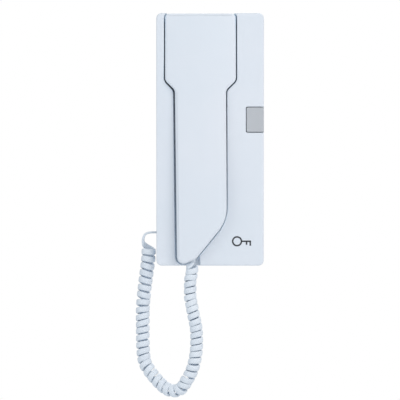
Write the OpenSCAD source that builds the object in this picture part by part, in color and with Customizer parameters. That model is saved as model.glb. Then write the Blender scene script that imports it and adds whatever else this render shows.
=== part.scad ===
// Slim wall telephone: a flat base on the wall, a handset that rests in a recess
// along the base's left part, a door button on the right edge and a curly cord.
// X runs right, Z up, the front faces -Y, and the wall is the plane Y = 0.
// The origin is at the middle of the wall plate's back face. Depths are counted
// from the wall towards the front, so a depth of 10 is Y = -10.

/* [Base] */
// Width of the base
base_w = 92; // [88:1:120]
// Height of the base
base_h = 216; // [180:1:262]
// Depth of the base at its top edge
depth_top = 38; // [36:0.5:46]
// Depth of the base at its bottom edge
depth_bottom = 29; // [27.5:0.5:35]
// Wall thickness of the front cover
wall = 2.2; // [1.6:0.1:2.8]
// Radius of the base's four corners, seen from the front
corner_r = 4.6; // [2:0.2:7]
// Thickness of the wall plate
plate_t = 3; // [2.4:0.1:4]
// Gap left between the cover's edge and the wall
wall_gap = 0.6; // [0.2:0.1:1]
// Clearance between pieces that fit inside one another
fit = 0.4; // [0.2:0.05:0.6]

/* [Wall fixing] */
// Distance of the wall screw holes from the base's sides
screw_in_x = 14; // [12:1:20]
// Distance of the wall screw holes from the base's top and bottom
screw_in_z = 18; // [12:1:36]
// Diameter of the wall screw holes
wall_screw_d = 4.5; // [3.5:0.1:5.5]
// Width and height of the cable hole in the wall plate
cable_hole = [30, 26]; // [16:1:34]

/* [Handset] */
// Width of the handset's ear part
ear_w = 60.6; // [54:0.2:64]
// Distance from the base's left edge to the ear part
ear_inset = 7.45; // [5:0.05:9]
// Length of the ear part's straight sides
ear_h = 57.6; // [44:0.2:64]
// Height of the sloping shoulders below the ear part
shoulder_h = 8.3; // [6:0.1:12]
// Width of the grip
grip_w = 43.7; // [36:0.1:46]
// Gap all round between the handset and its recess
gap = 0.9; // [0.6:0.05:1.4]
// Wall thickness of the handset shells
shell_t = 2; // [1.5:0.1:2.4]
// Depth of the ear recess floor
ear_floor = 12; // [10.5:0.1:13]
// Depth of the grip channel floor
grip_floor = 24; // [23:0.1:26]
// Clearance between the handset's back and the recess floor
seat_gap = 1; // [0.6:0.1:1.4]
// Depth of the joint between the two handset shells
split_d = 31; // [30:0.1:32]
// Depth of the handset's front at its top end
front_top = 38.3; // [37:0.1:44]
// Depth of the handset's front at its bottom end
front_bottom = 39.2; // [38:0.1:42]
// Extra depth of the handset's curved front halfway down
crown = 2.6; // [0:0.1:5]
// Diameter of the earpiece capsule
earpiece_d = 36; // [28:0.5:38]
// Thickness of the earpiece capsule
earpiece_t = 12; // [8:0.5:12]
// Diameter of the microphone capsule
mic_d = 9.7; // [6:0.1:10]

/* [Button and hook lever] */
// Width of the door button, measured from the base's right edge
button_w = 15.3; // [13:0.1:16]
// Height of the door button
button_h = 21; // [16:0.1:25]
// Gap round the door button
button_gap = 0.45; // [0.3:0.05:0.7]
// Travel of the door button
button_travel = 1.5; // [1:0.1:1.8]
// Diameter of the hook lever's pin
pin_d = 3; // [2:0.1:3.4]
// Radial clearance of a running fit
run_fit = 0.05; // [0.03:0.01:0.09]
// Length of the hook lever's arm below its pin
lever_l = 38; // [34:0.5:38]

/* [Circuit board] */
// Distance of the board's back from the wall
board_back = 7; // [6:0.1:8]
// Thickness of the board
board_t = 1.6; // [1:0.1:2]
// Gap between the board's edges and the cover
board_gap = 0.8; // [0.4:0.1:1.4]
// Diameter of the call buzzer
buzzer_d = 24; // [16:0.5:24]

/* [Cord] */
// Outer diameter of the coil at its base end and at its handset end
coil_d = [12.4, 10.6]; // [9:0.1:13]
// Diameter of the straight leads
lead_d = 3.4; // [2.6:0.1:3.8]
// Height of the cord's outlet above the base's bottom edge
outlet_up = 28.4; // [24:0.1:34]

/* [Hidden] */
$fn = 48;
// A depth beyond every piece, and how far a cut overshoots the face it opens.
far = 60;
cut = 1;
z_top = base_h / 2;
z_bot = -base_h / 2;
left_x = -base_w / 2;
right_x = base_w / 2;
white = [0.88, 0.90, 0.93];
steel = [0.72, 0.73, 0.75];

// Handset lines: the ear part, the neck below its shoulders and the foot.
ear_x = left_x + ear_inset + ear_w / 2;
ear_z = z_top - ear_h / 2 - 1.2;
hs_top = z_top - 0.3;
shoulder_z = z_top - ear_h;
neck_z = shoulder_z - shoulder_h;
hs_back = grip_floor + seat_gap;
cup_back = ear_floor + seat_gap;
cup_z = neck_z + 2;
foot_lean = [1.9, 0.7];
foot_corner = z_bot - 1.2;
foot_toe = z_bot + 5.8;
foot_rise = z_bot + 38.3;
mic_x = ear_x - grip_w / 2 + 11.1;
mic_z = z_bot + 18;
hs_screw_z = [neck_z - 18, z_bot + 46];
weight_z = [hs_screw_z[1] + 16.1, hs_screw_z[0] - 12];
wire_r = 0.6;
screw_r = 1.15;
head_r = 2.9;
boss_r = 4;

// Board lines: its posts, the parts below the top left post and those above the buzzer.
board_front = board_back + board_t;
board_w = base_w - 2 * wall - 2 * board_gap;
board_top = neck_z - 12;
board_bottom = z_bot + 21.4;
board_h = board_top - board_bottom;
post_x = board_w / 2 - 4.5;
post_z = [board_top - 3.8, max(board_bottom + 0.194 * board_h, z_bot + outlet_up + 10.5)];
transformer_z = post_z[0] - 54.3;
capacitor_r = 4.5;
capacitor_z = [post_z[0] - 12.3, post_z[0] - 24.3];
buzzer_x = right_x - 18;
buzzer_z = board_bottom + 0.382 * board_h;
buzzer_h = 9;
above_buzzer = buzzer_z + buzzer_d / 2;
resistor_x = buzzer_x - buzzer_d / 2 - 3.75;
terminals = 6;
terminal_pitch = 5;
terminal_h = 12;
terminal_top = board_top - 6;
screw_row = terminal_top - 7;
under_floor = grip_floor - wall;

// Hook lever lines: the pin, the nub that feels the handset and the switch.
lever_z = neck_z - 42.1;
pin_depth = 15;
arm_t = 3;
arm_front = pin_depth + arm_t / 2;
nub_tip = hs_back - 0.15;
nub_z = [lever_z - 28, lever_z - 18];
lever_x = [ear_x - 10.4, ear_x + 10.8];
bracket_t = 2;
bracket_gap = 0.4;
switch_z = lever_z - lever_l + 4;

// Door button lines.
button_z = z_top - 91.1;
button_x = right_x - button_w;
button_foot = 23.5;
flange = 3;
flange_t = 2.4;
post_end = 17.1;
tact_x = right_x - 8.8;

// Cord lines: the socket in the base's side and the grommet in the handset's foot.
outlet_z = z_bot + outlet_up;
outlet_depth = board_front + 5.6;
plug = [12.3, 7.7, 6.2];
plug_x = left_x + 0.4;
cord_x = ear_x - 7.25;
// Route of the coil's middle line: X, depth, Z.
coil_route = [
    [-53, 14, -91], [-53, 14, -97], [-53.5, 13.8, -105], [-55.5, 13, -120], [-57, 12.2, -133],
    [-58, 11.7, -146], [-58, 11.7, -159], [-58, 11.7, -172], [-57.5, 12, -184],
    [-56, 12.6, -192], [-53, 14, -197.5], [-49, 15.8, -203], [-44, 18, -208.5],
    [-39.5, 20.2, -212.5], [-35, 22.3, -215], [-31.5, 23.9, -215.5], [-27.5, 25.7, -215],
    [-23.5, 27.6, -212], [-20.5, 29, -207], [-17, 30.5, -201], [-14, 31, -193],
    [-12, 31, -182.5], [-11.5, 31, -171.5], [-12, 31, -161], [-14, 31, -151],
    [-15.5, 31, -143], [-17, 31, -135], [-17, 31, -128], [-17, 31, -121],
    [-15.5, 31, -113], [-15.5, 31, -109]
];
// Route of the lead from the plug to the coil's first turn.
base_lead_route = [
    [-45.6, 14.2, -79.6], [-48.5, 14.2, -79.6], [-52, 14.1, -79.8], [-55.2, 14, -80.8],
    [-57.3, 14, -82.8], [-58, 14, -85.4], [-57.8, 14, -88.4], [-57.8, 14, -91]
];
// Route of the short lead from the coil into the handset's grommet.
handset_lead_route = [[-15.5, 31, -109], [-15.5, 31, -106.8], [-15.5, 31, -104.6]];
grommet_z = z_bot + 3.4;
grommet_top = z_bot + 10.1;

function front_depth(z) = depth_bottom + (z - z_bot) * (depth_top - depth_bottom) / base_h;
function handset_depth(z) =
    let (u = (z - z_bot) / base_h)
    front_bottom + (front_top - front_bottom) * u + crown * 4 * u * (1 - u);

// Corners of the handset seen from the front, anticlockwise: X, Z, radius.
function handset_corners() = [
    [ear_x - grip_w / 2 + foot_lean[0], foot_corner, 6.1],
    [ear_x - 3.85, foot_toe, 7.6],
    [ear_x + grip_w / 2 + foot_lean[1], foot_rise, 30],
    [ear_x + grip_w / 2, neck_z, 5.4],
    [ear_x + ear_w / 2, shoulder_z, 5.6],
    [ear_x + ear_w / 2, hs_top, 3.6],
    [ear_x - ear_w / 2, hs_top, 3.6],
    [ear_x - ear_w / 2, shoulder_z, 5.6],
    [ear_x - grip_w / 2, neck_z, 5.4]
];

function xz(p) = [p[0], p[1]];
function unit(v) = v / norm(v);
function side(u, v) = u[0] * v[1] - u[1] * v[0];

// The same corners moved outwards by g, with their radii to suit.
function grown(c, g) =
    let (n = len(c))
    [for (i = [0 : n - 1])
        let (
            p = c[i],
            u = unit(xz(p) - xz(c[(i + n - 1) % n])),
            v = unit(xz(c[(i + 1) % n]) - xz(p)),
            out_u = [u[1], -u[0]],
            out_v = [v[1], -v[0]],
            step = (out_u + out_v) * g / (1 + out_u * out_v)
        )
        [p[0] + step[0], p[1] + step[1], max(0.3, p[2] + sign(side(u, v)) * g)]
    ];

// Points round an outline whose corners are arcs.
function rounded(c, steps = 7) =
    let (n = len(c))
    [for (i = [0 : n - 1])
        let (
            p = c[i],
            u = unit(xz(p) - xz(c[(i + n - 1) % n])),
            v = unit(xz(c[(i + 1) % n]) - xz(p)),
            turn = acos(u * v),
            inward = [-u[1], u[0]] * sign(side(u, v)),
            start = xz(p) - u * p[2] * tan(turn / 2),
            centre = start + inward * p[2]
        )
        for (k = [0 : steps])
            centre - inward * p[2] * cos(turn * k / steps) + u * p[2] * sin(turn * k / steps)
    ];

// A shape drawn in X and Z, made solid between two depths.
module slab(d0, d1) {
    translate([0, -d0, 0]) rotate([90, 0, 0]) linear_extrude(d1 - d0) children();
}

// A profile drawn in Y and Z, made solid between two X.
module across(x0, x1) {
    translate([x0, 0, 0]) rotate([90, 0, 90]) linear_extrude(x1 - x0) children();
}

module block(x, d, z) {
    translate([x[0], -d[1], z[0]]) cube([x[1] - x[0], d[1] - d[0], z[1] - z[0]]);
}

module rod_x(r, x, d, z) {
    translate([x[0], -d, z]) rotate([0, 90, 0]) cylinder(r = r, h = x[1] - x[0]);
}

module rod_y(r, x, d, z) {
    translate([x, -d[0], z]) rotate([90, 0, 0]) cylinder(r = r, h = d[1] - d[0]);
}

module rod_z(r, x, d, z) {
    translate([x, -d, z[0]]) cylinder(r = r, h = z[1] - z[0]);
}

// Rectangle with round corners, centred, drawn in X and Z.
module round_rect(w, h, r) {
    polygon(rounded([[-w / 2, -h / 2, r], [w / 2, -h / 2, r], [w / 2, h / 2, r], [-w / 2, h / 2, r]]));
}

module handset_outline(g) {
    polygon(rounded(grown(handset_corners(), g)));
}

// Only the part of the handset's outline above a height.
module ear_outline(g, z) {
    intersection() {
        handset_outline(g);
        translate([ear_x - ear_w, z]) square([2 * ear_w, far * 2]);
    }
}

// Everything behind the base's sloping front, lowered by a drop.
module behind_base_front(drop) {
    across(-base_w, base_w) polygon([
        [cut, z_bot - far], [cut, z_top + far],
        [drop - front_depth(z_top + far), z_top + far],
        [drop - front_depth(z_bot - far), z_bot - far]
    ]);
}

// Everything behind the handset's curved front, lowered by a drop.
module behind_handset_front(drop) {
    steps = 14;
    low = z_bot - 4;
    high = z_top + 4;
    across(-base_w, base_w) polygon(concat(
        [[-1, low], [-1, high]],
        [for (k = [steps : -1 : 0])
            let (z = low + (high - low) * k / steps)
            [drop - handset_depth(z), z]]
    ));
}

// A tube of given radii along points of X, depth and Z.
module tube(route, radii, sides, ref = [0.42, 0.91, 0]) {
    n = len(route);
    at = [for (p = route) [p[0], -p[1], p[2]]];
    rings = [for (i = [0 : n - 1])
        let (
            t = unit(at[min(i + 1, n - 1)] - at[max(i - 1, 0)]),
            a = unit(cross(ref, t)),
            b = cross(t, a)
        )
        for (k = [0 : sides - 1])
            at[i] + radii[i] * (a * cos(360 * k / sides) + b * sin(360 * k / sides))
    ];
    walls = [for (i = [0 : n - 2], k = [0 : sides - 1])
        let (j = (k + 1) % sides, low = i * sides, high = low + sides)
        [low + k, high + k, high + j, low + j]
    ];
    start = [for (k = [0 : sides - 1]) k];
    end = [for (k = [sides - 1 : -1 : 0]) (n - 1) * sides + k];
    polyhedron(points = rings, faces = concat(walls, [start, end]), convexity = 8);
}

// Pan-head screw along Y; its head lies at head_d and its point at tip_d.
module screw_y(x, z, head_d, tip_d, r = screw_r) {
    dir = sign(tip_d - head_d);
    seat = head_d + dir * 2;
    slot_d = [min(head_d, head_d + dir * 0.9) - 0.01, max(head_d, head_d + dir * 0.9) + 0.01];
    difference() {
        rod_y(head_r, x, [min(head_d, seat), max(head_d, seat)], z);
        block([x - 0.4, x + 0.4], slot_d, [z - 2, z + 2]);
        block([x - 2, x + 2], slot_d, [z - 0.4, z + 0.4]);
    }
    rod_y(r, x, [min(seat, tip_d), max(seat, tip_d)], z);
}

module wall_plate() {
    inset = wall + fit;
    tab_top = z_top - inset - fit;
    color([0.80, 0.82, 0.85])
    difference() {
        union() {
            slab(0, plate_t) round_rect(base_w - 2 * inset, base_h - 2 * inset, corner_r - wall);
            for (x = [-post_x, post_x], z = post_z) rod_y(3.4, x, [plate_t, board_back], z);
            // Tabs that locate the cover at its top edge.
            for (x = [ear_x - 16, ear_x + 16])
                block([x - 5, x + 5], [plate_t, ear_floor - wall - fit - 0.6], [tab_top - 2, tab_top]);
            // Block that the cover's screw bites into.
            block([ear_x - 5, ear_x + 5], [plate_t, 17], [z_bot + 6.4, z_bot + 13.4]);
        }
        for (x = [left_x + screw_in_x, right_x - screw_in_x], z = [z_bot + screw_in_z, z_top - screw_in_z])
            rod_y(wall_screw_d / 2, x, [-cut, plate_t + cut], z);
        slab(-cut, plate_t + cut) translate([ear_x, ear_z - 8])
            round_rect(cable_hole[0], cable_hole[1], 3);
        for (x = [-post_x, post_x], z = post_z)
            rod_y(screw_r + run_fit, x, [plate_t + 0.4, board_back + cut], z);
        rod_z(screw_r + run_fit, ear_x, 11, [z_bot + 5, z_bot + 15]);
    }
}

// The cover before its recess is cut: a tray open at the back with a tub in it.
module cover_body() {
    difference() {
        intersection() {
            slab(wall_gap, far) round_rect(base_w, base_h, corner_r);
            behind_base_front(0);
        }
        intersection() {
            slab(-cut, far) round_rect(base_w - 2 * wall, base_h - 2 * wall, corner_r - wall);
            behind_base_front(wall);
        }
    }
    intersection() {
        slab(wall_gap, far) round_rect(base_w, base_h, corner_r);
        behind_base_front(0);
        union() {
            slab(grip_floor - wall, far) handset_outline(gap + wall);
            slab(ear_floor - wall, far) ear_outline(gap + wall, cup_z - gap - wall);
            // Solid ground round the hollow that the cord leaves through.
            block([cord_x - 11, cord_x + 11], [grip_floor - wall, far], [z_bot, z_bot + 12]);
            // Boss round the cover's screw.
            rod_z(5, ear_x, 11, [z_bot, z_bot + 6]);
        }
    }
}

module front_cover() {
    button_room = button_h / 2 + button_gap;
    color(white)
    difference() {
        cover_body();
        slab(grip_floor, far) handset_outline(gap);
        slab(ear_floor, far) ear_outline(gap, cup_z - gap);
        // Slot for the hook lever's nub.
        block([ear_x - 5.8, ear_x + 5.8], [under_floor - cut, grip_floor + cut],
            [nub_z[0] - 1.4, nub_z[1] + 3.2]);
        // Notch for the door button, open at the front and at the right side.
        block([button_x, right_x + cut], [button_foot - 2.5, far],
            [button_z - button_room, button_z + button_room]);
        // Hollow in the lower edge for the cord.
        rod_z(8.2, cord_x, split_d, [z_bot - cut, z_bot + 8]);
        // Opening for the cord's plug in the left side.
        block([left_x - cut, left_x + wall + cut],
            [outlet_depth - plug[1] / 2 - fit, outlet_depth + plug[1] / 2 + fit],
            [outlet_z - plug[2] / 2 - fit, outlet_z + plug[2] / 2 + fit]);
        // Seat of the cover's screw.
        rod_z(head_r + 0.2, ear_x, 11, [z_bot - cut, z_bot + 2.6]);
        rod_z(screw_r + 0.35, ear_x, 11, [z_bot, z_bot + 7]);
        // Sound slots in the underside, below the buzzer.
        for (x = [14 : 4 : 30])
            block([x + ear_x + 8.25, x + ear_x + 10.05], [8, 20], [z_bot - cut, z_bot + wall + cut]);
    }
}

module cover_screw() {
    color(steel) {
        difference() {
            rod_z(head_r, ear_x, 11, [z_bot + 0.2, z_bot + 2.5]);
            block([ear_x - 2, ear_x + 2], [10.6, 11.4], [z_bot, z_bot + 1]);
            block([ear_x - 0.4, ear_x + 0.4], [9, 13], [z_bot, z_bot + 1]);
        }
        rod_z(screw_r, ear_x, 11, [z_bot + 2.5, z_bot + 13]);
    }
}

module circuit_board() {
    color([0.16, 0.42, 0.24])
    difference() {
        block([-board_w / 2, board_w / 2], [board_back, board_front], [board_bottom, board_top]);
        for (x = [-post_x, post_x], z = post_z)
            rod_y(screw_r + 0.35, x, [board_back - cut, board_front + cut], z);
    }
}

module board_screws() {
    color(steel)
    for (x = [-post_x, post_x], z = post_z) screw_y(x, z, board_front + 2, plate_t + 0.8);
}

function terminal_x(i) = ear_x + (i - (terminals - 1) / 2) * terminal_pitch;

module terminal_block() {
    half = terminals * terminal_pitch / 2;
    color([0.20, 0.36, 0.55])
    difference() {
        block([ear_x - half, ear_x + half], [board_front, board_front + 10],
            [terminal_top - terminal_h, terminal_top]);
        for (i = [0 : terminals - 1]) {
            rod_y(2, terminal_x(i), [board_front + 3.4, far], screw_row);
            rod_z(1.5, terminal_x(i), board_front + 4, [terminal_top - 8, terminal_top + cut]);
        }
    }
}

module terminal_screws() {
    color(steel)
    for (i = [0 : terminals - 1])
        difference() {
            rod_y(1.9, terminal_x(i), [board_front + 5.8, board_front + 9.2], screw_row);
            block([terminal_x(i) - 2, terminal_x(i) + 2], [board_front + 8.4, far],
                [screw_row - 0.35, screw_row + 0.35]);
        }
}

module call_buzzer() {
    r = buzzer_d / 2;
    color([0.10, 0.10, 0.11])
    difference() {
        rod_y(r, buzzer_x, [board_front, board_front + buzzer_h], buzzer_z);
        rod_y(r - 1.4, buzzer_x, [board_front + 5.4, board_front + buzzer_h - 1.2], buzzer_z);
        rod_y(2.4, buzzer_x, [board_front + 6, far], buzzer_z);
    }
}

module buzzer_disc() {
    color([0.80, 0.66, 0.34])
    rod_y(buzzer_d / 2 - 1.6, buzzer_x, [board_front + 5.5, board_front + 5.9], buzzer_z);
}

module speech_transformer() {
    x = [left_x + 8, left_x + 22];
    z = [transformer_z, transformer_z + 14];
    core = [board_front + 2, board_front + 10];
    winding = [board_front + 2, board_front + 8];
    inside = [x[0] + 2, x[1] - 2];
    color([0.35, 0.33, 0.30]) block(x, core, z);
    color([0.86, 0.80, 0.62]) {
        block(inside, [board_front, core[0]], [z[0] + 1, z[1] - 1]);
        block(inside, winding, [z[1], z[1] + 2]);
        block(inside, winding, [z[0] - 2, z[0]]);
    }
}

module capacitors() {
    spots = [[left_x + 13, capacitor_z[0], capacitor_r, 11], [left_x + 13, capacitor_z[1], capacitor_r, 11],
        [right_x - 26, above_buzzer + 23, 3.2, 9]];
    color([0.12, 0.14, 0.22])
    for (s = spots)
        difference() {
            rod_y(s[2], s[0], [board_front, board_front + s[3]], s[1]);
            rod_y(s[2] - 1, s[0], [board_front + s[3] - 0.3, far], s[1]);
        }
}

module resistors() {
    color([0.82, 0.72, 0.52])
    for (i = [0 : 5]) {
        z = above_buzzer + 16 - i * 3.4;
        rod_x(1.1, [resistor_x - 3, resistor_x + 3], board_front + 1.5, z);
        rod_x(0.3, [resistor_x - 4.6, resistor_x + 4.6], board_front + 1.5, z);
        for (s = [-4.2, 4.2]) rod_y(0.25, resistor_x + s, [board_front, board_front + 1.5], z);
    }
}

module speech_chip() {
    z = lever_z - lever_l - 8.5;
    color([0.08, 0.08, 0.09])
    block([ear_x - 9.5, ear_x + 9.5], [board_front + 0.6, board_front + 4], [z - 3.1, z + 3.1]);
    color(steel)
    for (i = [0 : 6], s = [-1, 1])
        block([ear_x - 7.9 + i * 2.54, ear_x - 7.4 + i * 2.54], [board_front, board_front + 2],
            [z + s * 3.45 - 0.35, z + s * 3.45 + 0.35]);
}

module hook_switch() {
    color([0.15, 0.15, 0.16])
    difference() {
        block([ear_x - 5, ear_x + 5], [board_front, board_front + 3.8], [switch_z - 4, switch_z + 4]);
        rod_y(1.35, ear_x, [board_front + 0.8, far], switch_z);
    }
}

module hook_switch_stem() {
    color([0.85, 0.25, 0.20])
    rod_y(1.25, ear_x, [board_front + 1.8, pin_depth - arm_t / 2 - 0.1], switch_z);
}

module lever_bracket() {
    inner = [lever_x[0] - bracket_gap, lever_x[1] + bracket_gap];
    outer = [inner[0] - bracket_t, inner[1] + bracket_t];
    color([0.84, 0.85, 0.88])
    difference() {
        union() {
            block(outer, [board_front, board_front + 1.4], [lever_z - 4.5, lever_z + 4.5]);
            for (x = [outer[0], inner[1]])
                block([x, x + bracket_t], [board_front, pin_depth + 4], [lever_z - 4.5, lever_z + 4.5]);
        }
        rod_x(pin_d / 2 + 0.02, [outer[0] - cut, outer[1] + cut], pin_depth, lever_z);
    }
}

module lever_pin() {
    color(steel)
    rod_x(pin_d / 2, [lever_x[0] - bracket_gap - bracket_t, lever_x[1] + bracket_gap + bracket_t],
        pin_depth, lever_z);
}

// Torsion spring wound round the pin, with one leg behind the arm and one on the board.
module lever_spring() {
    turns = 5;
    per_turn = 12;
    wire = 0.35;
    coil_r = pin_d / 2 + 0.9;
    start_x = ear_x - 2.6;
    wound = [for (k = [0 : turns * per_turn])
        [start_x + 5.2 * k / (turns * per_turn),
            pin_depth - coil_r * cos(360 * k / per_turn),
            lever_z + coil_r * sin(360 * k / per_turn)]];
    leg_a = [[start_x, pin_depth - coil_r, lever_z - 9], [start_x, pin_depth - coil_r, lever_z - 4]];
    leg_b = [[start_x + 5.2, pin_depth - coil_r, lever_z + 4]];
    route = concat(leg_a, wound, leg_b);
    color(steel) tube(route, [for (p = route) wire], 6, [1, 0, 0]);
}

module hook_lever() {
    bay = 3.6;
    left_arm = [lever_x[0], ear_x - bay];
    right_arm = [ear_x + bay, lever_x[1]];
    back = pin_depth - arm_t / 2;
    color(white)
    difference() {
        union() {
            for (x = [left_arm, right_arm]) {
                rod_x(3.3, x, pin_depth, lever_z);
                block(x, [back, arm_front], [lever_z - 8, lever_z]);
            }
            block(lever_x, [back, arm_front], [lever_z - 13, lever_z - 8]);
            block([ear_x - 5, ear_x + 5], [back, arm_front], [lever_z - lever_l, lever_z - 13]);
            block([ear_x - 4, ear_x + 4], [arm_front, nub_tip - 2], nub_z);
            // Rounded nose of the nub.
            rod_x(2, [ear_x - 4, ear_x + 4], nub_tip - 2, nub_z[0] + 2);
            rod_x(2, [ear_x - 4, ear_x + 4], nub_tip - 2, nub_z[1] - 2);
            block([ear_x - 4, ear_x + 4], [nub_tip - 2, nub_tip], [nub_z[0] + 2, nub_z[1] - 2]);
        }
        rod_x(pin_d / 2 + run_fit, [lever_x[0] - cut, lever_x[1] + cut], pin_depth, lever_z);
    }
}

module button_switch() {
    color([0.15, 0.15, 0.16])
    difference() {
        block([tact_x - 6, tact_x + 6], [board_front, board_front + 6.4], [button_z - 6, button_z + 6]);
        rod_y(3.1, tact_x, [board_front + 1.6, far], button_z);
    }
}

module button_switch_stem() {
    color([0.85, 0.25, 0.20])
    rod_y(3, tact_x, [board_front + 1.6 + button_travel + 0.4, post_end - 0.1], button_z);
}

// Grey cap that wraps round the base's right edge, with a flange behind the cover.
module door_button() {
    half = button_h / 2;
    x0 = button_x + button_gap;
    inside = front_depth(button_z) - wall;
    flange_front = front_depth(button_z - half - flange) - wall - 0.2;
    color([0.72, 0.73, 0.74])
    intersection() {
        union() {
            slab(flange_front - flange_t, far) polygon(rounded([
                [x0, button_z - half, 1.4], [right_x, button_z - half, 0.5],
                [right_x, button_z + half, 0.5], [x0, button_z + half, 1.4]]));
            block([right_x - wall, right_x], [button_foot, inside], [button_z - half, button_z + half]);
            block([x0 - flange, right_x - wall - fit], [flange_front - flange_t, flange_front],
                [button_z - half - flange, button_z + half + flange]);
            rod_y(3, tact_x, [post_end, inside], button_z);
        }
        behind_base_front(-0.5);
    }
}

module cord_socket() {
    x = [left_x + wall + fit, left_x + wall + fit + 14.4];
    color([0.12, 0.12, 0.13])
    difference() {
        block(x, [board_front, board_front + 11.6], [outlet_z - 6.5, outlet_z + 6.5]);
        block([x[0] - cut, plug_x + plug[0] + 0.3],
            [outlet_depth - plug[1] / 2 - 0.15, outlet_depth + plug[1] / 2 + 0.15],
            [outlet_z - plug[2] / 2 - 0.15, outlet_z + plug[2] / 2 + 0.15]);
    }
}

module cord_plug() {
    color([0.86, 0.89, 0.92, 0.6])
    difference() {
        block([plug_x, plug_x + plug[0]], [outlet_depth - plug[1] / 2, outlet_depth + plug[1] / 2],
            [outlet_z - plug[2] / 2, outlet_z + plug[2] / 2]);
        for (i = [0 : 3])
            block([plug_x + plug[0] - 4, plug_x + plug[0] + cut],
                [outlet_depth - 1.9 + i * 1.1, outlet_depth - 1.4 + i * 1.1],
                [outlet_z - plug[2] / 2 - cut, outlet_z - plug[2] / 2 + 1.4]);
    }
}

// Front half of the handset, with two screw posts and a ring that presses on the earpiece.
module handset_front_shell() {
    pilot_r = screw_r + run_fit;
    color(white)
    difference() {
        union() {
            difference() {
                intersection() {
                    slab(split_d, far) handset_outline(0);
                    behind_handset_front(0);
                }
                intersection() {
                    slab(split_d - cut, far) handset_outline(-shell_t);
                    behind_handset_front(shell_t);
                }
            }
            intersection() {
                behind_handset_front(shell_t / 2);
                union() {
                    for (z = hs_screw_z) rod_y(boss_r, ear_x, [split_d, far], z);
                    // Ring that presses on the earpiece capsule.
                    difference() {
                        rod_y(10, ear_x, [cup_back + shell_t + 1.6 + earpiece_t, far], ear_z);
                        rod_y(8.4, ear_x, [0, far], ear_z);
                    }
                }
            }
        }
        for (z = hs_screw_z) rod_y(pilot_r, ear_x, [split_d - cut, split_d + 6], z);
        rod_z(3.1 + run_fit, cord_x, split_d, [z_bot - cut, z_bot + 9]);
    }
}

module handset_back_shell() {
    floor_d = hs_back + shell_t;
    color(white)
    difference() {
        union() {
            difference() {
                union() {
                    slab(hs_back, split_d) handset_outline(0);
                    slab(cup_back, split_d) ear_outline(0, cup_z);
                }
                slab(floor_d, far) handset_outline(-shell_t);
                slab(cup_back + shell_t, far) ear_outline(-shell_t, cup_z + shell_t);
            }
            for (z = hs_screw_z) rod_y(5, ear_x, [hs_back, split_d], z);
            // Ring that holds the earpiece capsule.
            difference() {
                rod_y(earpiece_d / 2 + 2, ear_x, [cup_back, cup_back + shell_t + 6], ear_z);
                rod_y(earpiece_d / 2 + 0.2, ear_x, [cup_back + shell_t, far], ear_z);
            }
            // Ring round the microphone's boot.
            difference() {
                rod_y(mic_d / 2 + 2.9, mic_x, [hs_back, floor_d + 3], mic_z);
                rod_y(mic_d / 2 + 1.9, mic_x, [floor_d, far], mic_z);
            }
            // Ribs on either side of the balance weight.
            for (x = [ear_x - 14.4, ear_x + 12.2])
                block([x, x + 2.2], [hs_back, floor_d + 5], [weight_z[0] + 10, weight_z[1] - 10]);
        }
        for (z = hs_screw_z) {
            rod_y(head_r + 0.2, ear_x, [0, hs_back + 2.6], z);
            rod_y(screw_r + 0.35, ear_x, [0, far], z);
        }
        // Receiver holes: one in the middle and two rings round it.
        rod_y(1, ear_x, [0, cup_back + shell_t + cut], ear_z);
        for (ring = [[6, 4.2], [12, 8.4]], k = [1 : ring[0]])
            rod_y(1, ear_x + ring[1] * cos(k * 360 / ring[0]), [0, cup_back + shell_t + cut],
                ear_z + ring[1] * sin(k * 360 / ring[0]));
        rod_y(1, mic_x, [0, floor_d + cut], mic_z);
        rod_z(3.1 + run_fit, cord_x, split_d, [z_bot - cut, z_bot + 9]);
    }
}

module handset_screws() {
    color(steel)
    for (z = hs_screw_z) screw_y(ear_x, z, hs_back + 0.5, split_d + 5.4);
}

module earpiece_capsule() {
    r = earpiece_d / 2;
    back = cup_back + shell_t + 1.5;
    color([0.16, 0.16, 0.17])
    difference() {
        union() {
            rod_y(r, ear_x, [back, back + earpiece_t - 3], ear_z);
            rod_y(r - 5, ear_x, [back + earpiece_t - 3, back + earpiece_t], ear_z);
        }
        rod_y(r - 6, ear_x, [back - cut, back + 0.8], ear_z);
    }
}

module earpiece_gasket() {
    r = earpiece_d / 2;
    color([0.25, 0.25, 0.27])
    difference() {
        rod_y(r - 0.2, ear_x, [cup_back + shell_t, cup_back + shell_t + 1.5], ear_z);
        rod_y(r - 4.5, ear_x, [cup_back, far], ear_z);
    }
}

module microphone_capsule() {
    back = hs_back + shell_t + 1.3;
    color([0.70, 0.71, 0.73])
    difference() {
        rod_y(mic_d / 2, mic_x, [back, back + 5.7], mic_z);
        rod_y(1, mic_x, [back - cut, back + 0.5], mic_z);
    }
}

module microphone_boot() {
    back = hs_back + shell_t;
    color([0.10, 0.10, 0.11])
    difference() {
        rod_y(mic_d / 2 + 1.8, mic_x, [back, back + 5.4], mic_z);
        rod_y(mic_d / 2 + 0.05, mic_x, [back + 1.2, far], mic_z);
        rod_y(1.2, mic_x, [0, far], mic_z);
    }
}

module balance_weight() {
    color([0.45, 0.46, 0.48])
    difference() {
        block([ear_x - 12, ear_x + 12], [hs_back + shell_t, hs_back + shell_t + 6], weight_z);
        for (z = [weight_z[0] + 5, weight_z[1] - 5]) rod_y(2, ear_x, [0, far], z);
    }
}

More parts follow.
